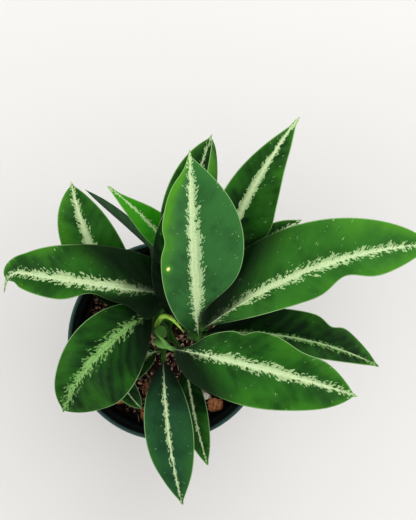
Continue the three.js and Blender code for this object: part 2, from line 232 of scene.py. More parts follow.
class Shader:
    """A node tree under construction for one material."""

    def __init__(self, name: str) -> None:
        """Starts an empty material with a Principled surface."""
        self.material = bpy.data.materials.new(name)
        self.material.use_nodes = True
        self.tree = self.material.node_tree
        self.tree.nodes.clear()
        self.surface = self.tree.nodes.new("ShaderNodeBsdfPrincipled")
        output = self.tree.nodes.new("ShaderNodeOutputMaterial")
        self.tree.links.new(self.surface.outputs[0], output.inputs["Surface"])

    def node(
        self,
        kind: str,
        settings: dict[str, object] | None = None,
        *values: "Socket | float | tuple | None",
        output: int | str = 0,
        **named: "Socket | float | tuple",
    ) -> Socket:
        """Adds one node.

        Args:
            kind: The node's type.
            settings: Properties set before its sockets are.
            values: Values or links for its first sockets, in order; None leaves one alone.
            output: The output that is wanted.
            named: Values or links for sockets by name, with _ for a space.

        Returns:
            The wanted output, wrapped.
        """
        made = self.tree.nodes.new(kind)
        for key, value in (settings or {}).items():
            setattr(made, key, value)
        pairs = list(enumerate(values))
        pairs += [(key.replace("_", " "), value) for key, value in named.items()]
        for key, value in pairs:
            if isinstance(value, Socket):
                self.tree.links.new(value.link, made.inputs[key])
            elif value is not None:
                made.inputs[key].default_value = value
        return Socket(self, made.outputs[output])

    def blend(self, share: "Socket | float", low: "Socket | tuple", high: "Socket | tuple") -> Socket:
        """A colour that goes from low to high."""
        made = self.tree.nodes.new("ShaderNodeMix")
        made.data_type = "RGBA"
        for index, value in ((0, share), (6, low), (7, high)):
            if isinstance(value, Socket):
                self.tree.links.new(value.link, made.inputs[index])
            else:
                made.inputs[index].default_value = value if isinstance(value, float) else (*value, 1.0)
        return Socket(self, made.outputs[2])

    def split(self, vector: Socket) -> list[Socket]:
        """The X, Y and Z of a vector."""
        made = self.tree.nodes.new("ShaderNodeSeparateXYZ")
        self.tree.links.new(vector.link, made.inputs[0])
        return [Socket(self, socket) for socket in made.outputs]

    def join(self, x: "Socket | float", y: "Socket | float", z: "Socket | float" = 0.0) -> Socket:
        """A vector from its three parts."""
        return self.node("ShaderNodeCombineXYZ", {}, x, y, z)

    def noise(self, place: Socket, scale: float, detail: float = 2.0, rough: float = 0.5) -> Socket:
        """Smooth noise around 0.5."""
        return self.node("ShaderNodeTexNoise", {}, Vector=place, Scale=scale, Detail=detail, Roughness=rough)

    def here(self) -> Socket:
        """The place on the object, in metres."""
        return self.node("ShaderNodeTexCoord", output="Object")

    def uv(self, name: str) -> Socket:
        """One of the piece's UV maps."""
        return self.node("ShaderNodeUVMap", {"uv_map": name})

    def attribute(self, name: str) -> Socket:
        """A number stored on the mesh."""
        return self.node("ShaderNodeAttribute", {"attribute_name": name}, output="Fac")

    def bump(self, height: Socket, strength: float, distance: float) -> Socket:
        """A normal bent by a height."""
        return self.node("ShaderNodeBump", {}, Height=height, Strength=strength, Distance=distance)

    def feed(self, **inputs: "Socket | float | tuple") -> bpy.types.Material:
        """Sets or links the surface's sockets, named with _ for a space, and ends the work."""
        for key, value in inputs.items():
            socket = self.surface.inputs[key.replace("_", " ")]
            if isinstance(value, Socket):
                self.tree.links.new(value.link, socket)
            else:
                colour = socket.type == "RGBA"
                socket.default_value = (*value, 1.0) if colour else value
        return self.material


# ---------------------------------------------------------------- finishes
@dataclass(frozen=True)
class LeafFinish:
    """Variegated leaf: deep green, with a pale band along the midrib that breaks into specks.

    Pairs are for the left and right half, looking from base to tip.
    """

    deep: tuple[float, float, float] = (0.004, 0.026, 0.005)
    lit: tuple[float, float, float] = (0.034, 0.15, 0.018)
    # yellow-green of the painted light at tips and margins, also the real halo round a blemish
    tip: tuple[float, float, float] = (0.09, 0.27, 0.022)
    pale: tuple[float, float, float] = (0.52, 0.64, 0.38)
    rib: tuple[float, float, float] = (0.56, 0.66, 0.44)
    margin: tuple[float, float, float] = (0.27, 0.4, 0.2)
    under: tuple[float, float, float] = (0.05, 0.115, 0.04)
    stalk: tuple[float, float, float] = (0.06, 0.16, 0.03)
    spot: tuple[float, float, float] = (0.8, 0.75, 0.4)
    # painted shade: the near black green that the base of a blade is painted toward
    painted_shade_colour: tuple[float, float, float] = (0.0015, 0.012, 0.0025)
    band: tuple[float, float] = (4.0, 4.0)
    feather: float = 3.0
    # painted shade: for each half, how far from the base the painted darkening reaches
    painted_shade: tuple[float, float] = (0.15, 0.15)
    # painted light: for each half, how strongly the green turns yellow-green toward the tip and margins
    painted_light: tuple[float, float] = (0.4, 0.4)
    # each leaf's overall lightness between deep and lit: partly the leaf's own tone, partly painted light
    shade: float = 0.5
    blemish: tuple[float, float] = (-90.0, 0.0)
    seed: float = 0.0

    def material(self, name: str) -> bpy.types.Material:
        """The material.

        The map "blade" holds the share along the blade and across it, from 0 at one margin
        to 1 at the other, with 2 more on the underside. The map "span" holds millimetres
        along the leaf and out from the midrib, above 0 on the left half. Side veins run
        forward from the midrib, so specks are stretched along lines of constant millimetres
        along less VEIN_SLANT of those across.

        Args:
            name: The material's name.

        Returns:
            The finished material.
        """
        shader = Shader(name)
        along, side, _ = shader.split(shader.uv("blade"))
        run, out, _ = shader.split(shader.uv("span"))
        below = side > 1.5
        edge = ((side - 2.0 * below) * 2.0 - 1.0).size()
        away = out.size()
        on_left = out > 0.0

        def pair(both: tuple[float, float]) -> Socket:
            """The one of two values that is for this half of the leaf."""
            return on_left * (both[0] - both[1]) + both[1]

        vein = run - away * VEIN_SLANT
        place = self.seed + on_left * 9.0
        fine = shader.noise(shader.join(vein, away * 0.8, place), 0.95, 2.0, 0.6)
        group = shader.noise(shader.join(vein, away * 0.5, place), 0.25, 2.0, 0.5)
        cloud = shader.noise(shader.join(run, out, self.seed), 0.045, 3.0, 0.5)
        mottle = shader.noise(shader.join(vein, away * 0.5, place), 0.16, 3.0, 0.6)

        reach = along.rise(-0.05, 0.3) * (1.0 - along.rise(0.5, 1.05) * 0.75) * pair(self.band)
        warped = shader.join(vein + fine * 2.4, away * 0.8 - fine * 2.0, place)
        cells = shader.node("ShaderNodeTexVoronoi", {}, Vector=warped, Scale=0.95, output="Color")
        chance, _, _ = shader.split(cells)
        beyond = (away - reach) / self.feather + 0.5 - (group - 0.5) * 1.7
        band = (chance - beyond).rise(-0.05, 0.08) * along.rise(-0.04, 0.03)
        core = (reach * 0.55 - away + (group - 0.5) * 2.0).rise(-0.5, 0.8)
        stray = shader.noise(shader.join(vein, away * 0.6, place + 31.0), 0.7, 1.0).rise(0.7, 0.75)
        speck = stray * shader.noise(shader.join(run, out, self.seed + 7.0), 0.08).rise(0.45, 0.6) * 0.5

        ripple = (vein * 0.62 + (cloud - 0.5) * 14.0).sine() * 0.5 + 0.5
        # partly painted light: lighter toward the tip and margins, darker toward the shaded centre of the
        # plant; the noise adds the leaf's own patchy tone
        light = cloud.rise(0.28, 0.72) * 0.5 + edge * 0.22 + along * 0.4 + (mottle - 0.5) * 0.5
        green = shader.blend((light + (self.shade - 0.52)).rise(0.0, 1.0), self.deep, self.lit)
        green = shader.blend(ripple * mottle * 0.4, green, self.lit)
        # painted light: the green turns yellow-green toward the tip and the margins, more on one half than
        # the other
        yellow = along * 0.6 + edge * 0.5 + (cloud - 0.5) * 0.9
        green = shader.blend(yellow.rise(0.55, 1.15) * pair(self.painted_light), green, self.tip)
        colour = shader.blend(speck, green, self.pale)
        grain = shader.blend(fine.rise(0.4, 0.75) * 0.3, self.pale, self.lit)
        colour = shader.blend(band * (0.72 + core * 0.26), colour, grain)
        stripe = away.rise(0.75, 0.25) * along.rise(1.0, 0.8)
        colour = shader.blend(stripe * 0.6, colour, self.rib)
        from_margin = away * (1.0 - edge) / (edge + 0.01)
        trim = from_margin.rise(0.8, 0.35) * along.rise(0.0, 0.1) * edge.rise(0.5, 0.8)
        colour = shader.blend(trim * 0.8, colour, self.margin)
        run_off, out_off = (run - self.blemish[0]), (out - self.blemish[1])
        far = (run_off * run_off + out_off * out_off) ** 0.5
        colour = shader.blend(far.rise(4.6, 1.0) * 0.8, colour, self.tip)
        colour = shader.blend(far.rise(1.7, 0.7), colour, self.spot)
        # painted shade: the blade darkens to near black toward its base, further on the half given the larger
        # value, standing in for the shade at the plant's centre
        painted_shade = pair(self.painted_shade) * (0.4 + edge * 0.7) + (cloud - 0.5) * 0.12 - along
        colour = shader.blend(painted_shade.rise(-0.12, 0.12) * 0.9, colour, self.painted_shade_colour)
        back = shader.blend(stripe + ripple * 0.12, self.under, self.margin)
        colour = shader.blend(below, colour, back)
        colour = shader.blend(along.rise(0.02, -0.03), colour, self.stalk)

        relief = (ripple - 0.5) * edge * (1.0 - edge) * 1.6 + fine * 0.25
        return shader.feed(
            Base_Color=colour,
            Roughness=0.36 + cloud * 0.14 + band * 0.08 + below * 0.12,
            Specular_IOR_Level=0.18,
            Subsurface_Weight=0.04,
            Subsurface_Radius=(0.4, 1.0, 0.2),
            Subsurface_Scale=0.002,
            Normal=shader.bump(relief, 0.5, 0.0005),
        )


@dataclass(frozen=True)
class StalkFinish:
    """Cane or young leaf: one green with slow paler streaks and brown at its scars."""

    base: tuple[float, float, float]
    light: tuple[float, float, float]
    scar: tuple[float, float, float] = (0.12, 0.07, 0.03)

    def material(self, name: str) -> bpy.types.Material:
        """The material; the attribute tint is 1 on a leaf scar."""
        shader = Shader(name)
        here = shader.here()
        x, y, z = shader.split(here)
        streak = shader.noise(shader.join(x * 6.0, y * 6.0, z), 60.0, 3.0)
        spots = shader.noise(here, 700.0, 2.0)
        colour = shader.blend(streak.rise(0.35, 0.65), self.base, self.light)
        colour = shader.blend(spots.rise(0.62, 0.72) * 0.4, colour, self.light)
        colour = shader.blend(shader.attribute("tint").rise(0.3, 0.9) * 0.75, colour, self.scar)
        return shader.feed(
            Base_Color=colour,
            Roughness=0.38 + spots * 0.2,
            Subsurface_Weight=0.08,
            Subsurface_Radius=(0.4, 1.0, 0.2),
            Subsurface_Scale=0.002,
            Normal=shader.bump(streak, 0.35, 0.0006),
        )


@dataclass(frozen=True)
class PlasticFinish:
    """Thin moulded plastic, almost black with green in it, with a painted highlight on its lip and paler wear
    on its foot.
    """

    base: tuple[float, float, float] = (0.006, 0.016, 0.014)
    # paler teal: a painted highlight on the lip, and wear on the foot
    rim_highlight_and_wear: tuple[float, float, float] = (0.035, 0.085, 0.075)
    dust: tuple[float, float, float] = (0.09, 0.075, 0.055)

    def material(self, name: str) -> bpy.types.Material:
        """The material; the attribute tint is near 1 on the lip, a painted highlight, and about half that on
        the foot, where it is worn.
        """
        shader = Shader(name)
        here = shader.here()
        x, y, z = shader.split(here)
        flow = shader.noise(shader.join(x, y, z * 0.12), 130.0, 3.0)
        scuff = shader.noise(here, 260.0, 4.0, 0.65)
        rim_highlight_and_wear = (shader.attribute("tint") + (scuff - 0.5) * 0.5).rise(0.15, 0.95)
        colour = shader.blend(rim_highlight_and_wear, self.base, self.rim_highlight_and_wear)
        colour = shader.blend(scuff.rise(0.6, 0.78) * 0.22, colour, self.dust)
        return shader.feed(
            Base_Color=colour,
            Roughness=0.34 + scuff * 0.24,
            Specular_IOR_Level=0.5,
            Normal=shader.bump(flow * 0.6 + scuff * 0.4, 0.25, 0.0004),
        )


@dataclass(frozen=True)
class EarthFinish:
    """Potting mix, bark and perlite: each grain has its own tint between two colours."""

    dark: tuple[float, float, float]
    pale: tuple[float, float, float]
    grain_size: float = 900.0
    rough: float = 0.85
    fibre: float = 1.0
    contrast: float = 1.0

    def material(self, name: str) -> bpy.types.Material:
        """The material; the attribute tint sets how pale a grain is."""
        shader = Shader(name)
        here = shader.here()
        x, y, z = shader.split(here)
        fibres = shader.noise(shader.join(x * self.fibre, y, z), self.grain_size * 0.5, 4.0, 0.6)
        grit = shader.noise(here, self.grain_size, 3.0, 0.7)
        patchy = (fibres - 0.5) * 0.9 + (grit - 0.5) * 0.5
        level = shader.attribute("tint") * 0.85 + patchy * self.contrast
        return shader.feed(
            Base_Color=shader.blend(level.rise(0.0, 1.0), self.dark, self.pale),
            Roughness=self.rough - grit * 0.12,
            Specular_IOR_Level=0.3,
            Normal=shader.bump(fibres * 0.6 + grit * 0.5, 0.7, 0.0007),
        )


# ---------------------------------------------------------------- canes
@dataclass
class Cane:
    """An upright stem with a ring at each old leaf scar."""

    node: str
    at: tuple[float, float]
    lean: tuple[float, float]
    radius: float
    ring: float
    foot: float = 0.118
    scar_height: float = 0.0005
    swell_width: float = 2.0 * MM
    groove_width: float = 0.5 * MM
    dome_height: float = 1.2 * MM
    around: int = 48
    stations: int = 160

    def top(self) -> float:
        """Height of the cane's top in the frame."""
        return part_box(self.node)[1].z

    def centre(self, height: Array) -> Array:
        """Centre line: it leans evenly from the soil up, so a place is at plus lean times share."""
        share = (height - self.foot) / (self.top() - self.foot)
        return np.stack([
            self.at[0] + self.lean[0] * share,
            self.at[1] + self.lean[1] * share,
            height,
        ], -1)

    def build(self, finish: StalkFinish) -> bpy.types.Object:
        """The cane's skin: radius tapers up, swells at each scar and has a fine scar groove.

        Args:
            finish: The cane's finish.

        Returns:
            The finished piece.
        """
        low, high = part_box(self.node)[0].z, self.top()
        height = np.linspace(low, high, self.stations)
        share = (height - low) / (high - low)
        phase = (height - low) / self.ring
        nearest = np.abs(phase - np.round(phase))
        swell = np.exp(-((nearest * self.ring / self.swell_width) ** 2))
        groove = np.exp(-((nearest * self.ring / self.groove_width) ** 2))
        dome = np.sqrt(np.clip((high - height) / self.dome_height, 0.0, 1.0))
        radius = self.radius * mix(1.0, 0.92, share) + self.scar_height * (swell - 0.7 * groove)
        radius = radius * mix(0.6, 1.0, dome)
        angle = np.linspace(0.0, 2.0 * math.pi, self.around, endpoint=False)
        uneven = 1.0 + 0.012 * np.sin(3.0 * angle[None, :] + 9.0 * share[:, None])
        spoke = np.stack([np.cos(angle), np.sin(angle), 0.0 * angle], -1)
        rings = self.centre(height)[:, None] + spoke[None] * (radius[:, None] * uneven)[..., None]
        points, faces = closed_skin(rings)
        tints = np.append(np.repeat(groove, self.around), [0.0, 0.6])
        piece = make_piece(self.node + "_stem", points, faces, tints=tints)
        return dress(piece, finish.material(self.node + "_green"), "cane", self.node)


CANES = {
    cane.node: cane
    for cane in (
        Cane("cane_left", at=(-0.004, 0.010), lean=(0.001, 0.001), radius=0.0065, ring=0.014),
        Cane("cane_right", at=(0.022, 0.009), lean=(-0.001, 0.0), radius=0.006, ring=0.015),
        Cane("cane_small", at=(-0.044, -0.010), lean=(0.001, -0.002), radius=0.0035, ring=0.009),
    )
}


def dress(
    piece: bpy.types.Object,
    material: bpy.types.Material,
    slot: str,
    *nodes: str,
) -> bpy.types.Object:
    """Gives a piece its material and ties it to the frame.

    Args:
        piece: The piece.
        material: Its material.
        slot: The record's material slot; it is not used.
        nodes: CAD nodes that the piece stands for.

    Returns:
        The same piece.
    """
    piece.data.materials.clear()
    piece.data.materials.append(material)
    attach(piece, BODY)
    if nodes:
        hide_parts(*nodes)
    log.info("%s: %d faces", piece.name, len(piece.data.polygons))
    return piece


# ---------------------------------------------------------------- leaves
LEFT, RIGHT = 0, 1


@dataclass
class Dent:
    """A place where a margin is drawn in, or let out if depth is below 0."""

    side: int
    at: float
    depth: float
    width: float = 0.06


@dataclass
class Leaf:
    """One leaf: petiole and blade. Angles in degrees; pairs run base to tip or left and right."""

    node: str
    cane: str
    height: float
    facing: float
    base: tuple[float, float, float]
    heading: tuple[float, float]
    rise: tuple[float, float]
    length: float
    half: tuple[float, float]
    belly: tuple[float, float]
    full: tuple[float, float]
    fold: float = 20.0
    cup: float = -22.0
    roll: tuple[float, float] = (0.0, 0.0)
    hook: float = 0.0
    tail: float = 0.03
    tail_half: float = 0.0012
    curl: tuple[float, float] = (0.0, 0.0)
    curl_from: float = 0.55
    sheath: float = 0.0
    wave: tuple[float, float, float] = (0.0015, 2.5, 0.3)
    dents: tuple[Dent, ...] = ()
    finish: LeafFinish = field(default_factory=LeafFinish)

    steps: int = 240
    petiole_stations: int = 40
    blade_stations: int = 132
    columns: int = 30
    foot_radius: float = 0.0026
    neck_radius: float = 0.0017
    blade_thickness: float = 0.0007
    last_station: float = 0.9985
    vein_spacing: float = 10.0 * MM
    pucker_height: float = 0.75 * MM
    warp_height: float = 0.5 * MM
    groove_depth: float = 0.55 * MM
    groove_width: float = 1.1 * MM
    keel_depth: float = 1.3 * MM
    keel_width: float = 1.5 * MM

    def midrib(self) -> tuple[Array, Array, Array]:
        """Places, directions and level side directions along the blade.

        Heading and rise change evenly from base to tip, with up to hook more heading in the
        last fifth, and the places are the running sum of short steps in those directions.

        Returns:
            Arrays of steps + 1 rows.
        """
        s = np.linspace(0.0, 1.0, self.steps + 1)
        heading = np.radians(mix(*self.heading, s) + self.hook * smoothstep(s, 0.78, 0.97))
        rise = np.radians(mix(*self.rise, s))
        ahead = np.stack([np.cos(rise) * np.cos(heading), np.cos(rise) * np.sin(heading), np.sin(rise)], -1)
        left = np.stack([-np.sin(heading), np.cos(heading), 0.0 * heading], -1)
        moves = np.cumsum(ahead[:-1] * (self.length / self.steps), axis=0)
        places = np.array(self.base) + np.concatenate([np.zeros((1, 3)), moves])
        return places, ahead, left

    def petiole(self, ahead: Array) -> tuple[Array, Array]:
        """Places and directions along the petiole: a cubic Bezier from inside the cane to the blade.

        Args:
            ahead: The blade's direction at its base.

        Returns:
            Arrays of petiole_stations rows.
        """
        cane = CANES[self.cane]
        base = np.array(self.base)
        foot = cane.centre(np.array(self.height))
        facing = math.radians(self.facing)
        outward = np.array([math.cos(facing), math.sin(facing), 0.0])
        on_top = self.height >= cane.top() - 0.0005
        if on_top:
            foot = foot + outward * 1.5 * MM
            foot[2] = self.height - 2.0 * MM
        else:
            foot = foot + outward * (cane.radius - 1.5 * MM)
            foot[2] = self.height - 3.0 * MM
        span = np.linalg.norm(base - foot)
        start = foot + outward * span * (0.02 if on_top else 0.2) + np.array([0.0, 0.0, span * 0.3])
        end = base - ahead * span * 0.35
        u = (np.arange(self.petiole_stations) / self.petiole_stations)[:, None]
        v = 1.0 - u
        places = foot * v**3 + 3.0 * start * v**2 * u + 3.0 * end * v * u**2 + base * u**3
        slopes = (start - foot) * v**2 + 2.0 * (end - start) * v * u + (base - end) * u**2
        return places, unit(slopes)

    def half_width(self, s: Array, side: int) -> Array:
        """Half width of the blade on one side (0 left, 1 right).

        It is half * (s / belly)^(full * belly) * ((1 - s) / (1 - belly))^(full * (1 - belly)),
        less each dent's depth times exp(-((s - at) / width)^2). The last share, the tail, is a
        narrow drip tip that tapers from tail_half.
        """
        belly, full = self.belly[side], self.full[side]
        clear = np.clip(s / (1.0 - self.tail), 0.0, 1.0)
        width = self.half[side] * (clear / belly) ** (full * belly)
        width = width * ((1.0 - clear) / (1.0 - belly)) ** (full * (1.0 - belly))
        for dent in self.dents:
            if dent.side == side:
                width = width * (1.0 - dent.depth * np.exp(-(((s - dent.at) / dent.width) ** 2)))
        drip = self.tail_half * np.clip((1.0 - s) / self.tail, 0.0, 1.0) ** 0.8
        return np.hypot(width, drip * smoothstep(s, 0.5, 1.0 - self.tail))

    def stations(self) -> dict[str, Array]:
        """Everything that changes along the leaf, petiole first, as arrays by station."""
        rib, ahead, left = self.midrib()
        foot_places, foot_ahead = self.petiole(ahead[0])
        u = np.arange(self.petiole_stations) / self.petiole_stations
        s = (1.0 - np.cos(np.linspace(0.0, math.pi, self.blade_stations))) / 2.0 * self.last_station
        s = mix(s, np.linspace(0.0, self.last_station, self.blade_stations), 0.55)
        at = s * self.steps
        whole = np.arange(self.steps + 1)

        def pick(rows: Array) -> Array:
            """A midrib array's values at the blade's stations."""
            return np.stack([np.interp(at, whole, rows[:, k]) for k in range(3)], -1)

        flat = smoothstep(s, 0.0, 0.14)
        neck = self.neck_radius * (1.0 - flat)
        radius = mix(self.foot_radius, self.neck_radius, smoothstep(u, 0.0, 0.7))
        radius = radius * (1.0 + 0.5 * np.exp(-((u / 0.16) ** 2)))
        opened = np.sin(math.pi * np.minimum(1.0, 1.25 * u)) * float(self.sheath > 0.0)
        reach = radius + opened * self.sheath
        widths = [np.maximum(neck, self.half_width(s, side)) for side in (LEFT, RIGHT)]
        thin = mix(0.5 * self.blade_thickness, 0.12 * MM, smoothstep(s, 0.75, 1.0))
        return {
            "place": np.concatenate([foot_places, pick(rib)]),
            "ahead": unit(np.concatenate([foot_ahead, pick(ahead)])),
            "left": unit(np.concatenate([np.repeat(left[:1], len(u), 0), pick(left)])),
            "wide_left": np.concatenate([reach, widths[0]]),
            "wide_right": np.concatenate([reach, widths[1]]),
            "thick": np.concatenate([mix(radius, 1.0 * MM, opened), mix(self.neck_radius, thin, flat)]),
            "fold": np.concatenate([60.0 * opened, self.fold * flat]),
            "cup": np.concatenate([0.0 * u, self.cup * flat]),
            "roll": np.concatenate([self.roll[0] * u, mix(*self.roll, s)]),
            "flat": np.concatenate([0.0 * u, flat]),
            "curled": np.concatenate([0.0 * u, smoothstep(s, 0.3, 0.6)]),
            "s": np.concatenate([u * 0.3 - 0.3, s]),
            "run": np.concatenate([(u - 1.0) * 0.05, s * self.length]),
        }

    def surface(self) -> tuple[Array, Array, dict[str, Array]]:
        """The leaf's closed skin and its UV maps.

        A half section is an arc: it leaves the midrib at fold and bends on by cup, so a point
        at share t lies width * t out along the mean slope fold + cup * t / 2. Beyond the share
        curl_from a margin may bend on by curl. Added to the arc are the margin's wave,
        wave * t^2 * sin(2 pi (n s + phase)), the puckers between the side veins, and the
        midrib's groove above and keel below.

        Returns:
            Vertex places, triangles and UV maps.
        """
        at = self.stations()
        half = self.columns
        angle = np.linspace(0.0, 2.0 * math.pi, 2 * half, endpoint=False)
        t = np.cos(angle)
        t = np.sign(t) * np.abs(t) ** 0.9
        col = {key: value[:, None] for key, value in at.items() if value.ndim == 1}
        reach = np.abs(t)[None]
        width = np.where(t[None] >= 0.0, col["wide_left"], col["wide_right"])
        sideways, upward = self.section(t, col)
        sideways, upward = sideways * width, upward * width

        amount, count, phase = self.wave
        side_phase = np.where(t[None] >= 0.0, phase, phase + 0.37)
        envelope = np.sin(math.pi * np.clip(col["s"], 0.0, 1.0)) ** 0.6
        waving = np.sin(2.0 * math.pi * (count * col["s"] + side_phase))
        upward = upward + amount * reach**2.2 * envelope * waving
        along = (col["run"] - VEIN_SLANT * width * reach) / self.vein_spacing
        pucker = np.abs(np.sin(math.pi * along + 2.0 * phase)) - 0.6
        fade = col["flat"] * envelope * reach * (1.0 - reach**3)
        upward = upward + self.pucker_height * pucker * fade
        slow = np.sin(along * 1.1 + 5.0 * phase + 2.0 * np.sign(t[None]))
        upward = upward + self.warp_height * slow * fade

        body = np.sign(np.sin(angle)) * np.abs(np.sin(angle)) ** 0.7
        thickness = col["thick"] * body[None]
        distance = width * reach
        taper = col["flat"] * (1.0 - 0.85 * np.clip(col["s"], 0.0, 1.0))
        groove = self.groove_depth * taper * np.exp(-((distance / self.groove_width) ** 2))
        keel = self.keel_depth * taper * np.exp(-((distance / self.keel_width) ** 2))
        turn = np.sin(angle)[None]
        underside = thickness - keel * (turn < -1e-6)
        thickness = np.where(turn > 1e-6, thickness - groove, underside)

        ahead = at["ahead"]
        side = unit(at["left"] - ahead * np.sum(at["left"] * ahead, -1, keepdims=True))
        up = np.cross(ahead, side)
        roll = np.radians(at["roll"])[:, None]
        across = side * np.cos(roll) + up * np.sin(roll)
        above = up * np.cos(roll) - side * np.sin(roll)
        rings = at["place"][:, None] + across[:, None] * sideways[..., None]
        rings = rings + above[:, None] * (upward + thickness)[..., None]
        points, faces = closed_skin(rings)
        return points, faces, self.maps(faces, t, angle, col, width)

    def section(self, t: Array, col: dict[str, Array]) -> tuple[Array, Array]:
        """The arc of each section, for a half width of 1, by adding up many short steps.

        Args:
            t: Share across, for each point round a section.
            col: Values by station, as columns.

        Returns:
            How far each point lies sideways and upward of the midrib.
        """
        fine = np.linspace(0.0, 1.0, 61)
        both = []
        for side in (LEFT, RIGHT):
            more = self.curl[side] * smoothstep(fine, self.curl_from, 1.0)[None] * col["curled"]
            slope = np.radians(col["fold"] + col["cup"] * fine[None] + more)
            step = np.stack([np.cos(slope), np.sin(slope)])[..., 1:] / (len(fine) - 1)
            arc = np.concatenate([np.zeros((2, len(slope), 1)), np.cumsum(step, -1)], -1)
            at = np.abs(t) * (len(fine) - 1)
            low = np.minimum(at.astype(int), len(fine) - 2)
            both.append(arc[..., low] * (1.0 - at + low) + arc[..., low + 1] * (at - low))
        left = t[None, None] >= 0.0
        chosen = np.where(left, both[LEFT], both[RIGHT])
        return chosen[0] * np.where(t >= 0.0, 1.0, -1.0)[None], chosen[1]

    def maps(
        self,
        faces: Array,
        t: Array,
        angle: Array,
        col: dict[str, Array],
        width: Array,
    ) -> dict[str, Array]:
        """The UV maps "blade" and "span" for each face corner.

        Args:
            faces: Triangles of the skin.
            t: Share across, for each point round a section.
            angle: Angle round the section of each point.
            col: Values by station, as columns.
            width: Half width by station and point.

        Returns:
            For each map its name and a coordinate pair per corner.
        """
        around = len(t)
        rows = len(col["s"])
        s = np.append(np.repeat(col["s"][:, 0], around), [col["s"][0, 0], 1.0])
        run = np.append(np.repeat(col["run"][:, 0], around), [col["run"][0, 0], self.length])
        share = np.append(np.tile(t, rows), [0.0, 0.0])
        out = np.append((width * t[None]).ravel(), [0.0, 0.0])
        turn = np.append(np.tile(np.sin(angle), rows), [1.0, 1.0])
        lower = np.mean(turn[faces], axis=1, keepdims=True) < 0.0
        blade = np.stack([s[faces], (share[faces] + 1.0) / 2.0 + 2.0 * lower], -1)
        span = np.stack([run[faces], out[faces]], -1) / MM
        return {"blade": blade, "span": span}

    def build(self) -> bpy.types.Object:
        """The finished leaf, tied to the frame."""
        points, faces, maps = self.surface()
        piece = make_piece(self.node + "_blade", points, faces, maps)
        return dress(piece, self.finish.material(self.node + "_skin"), "leaf", self.node)


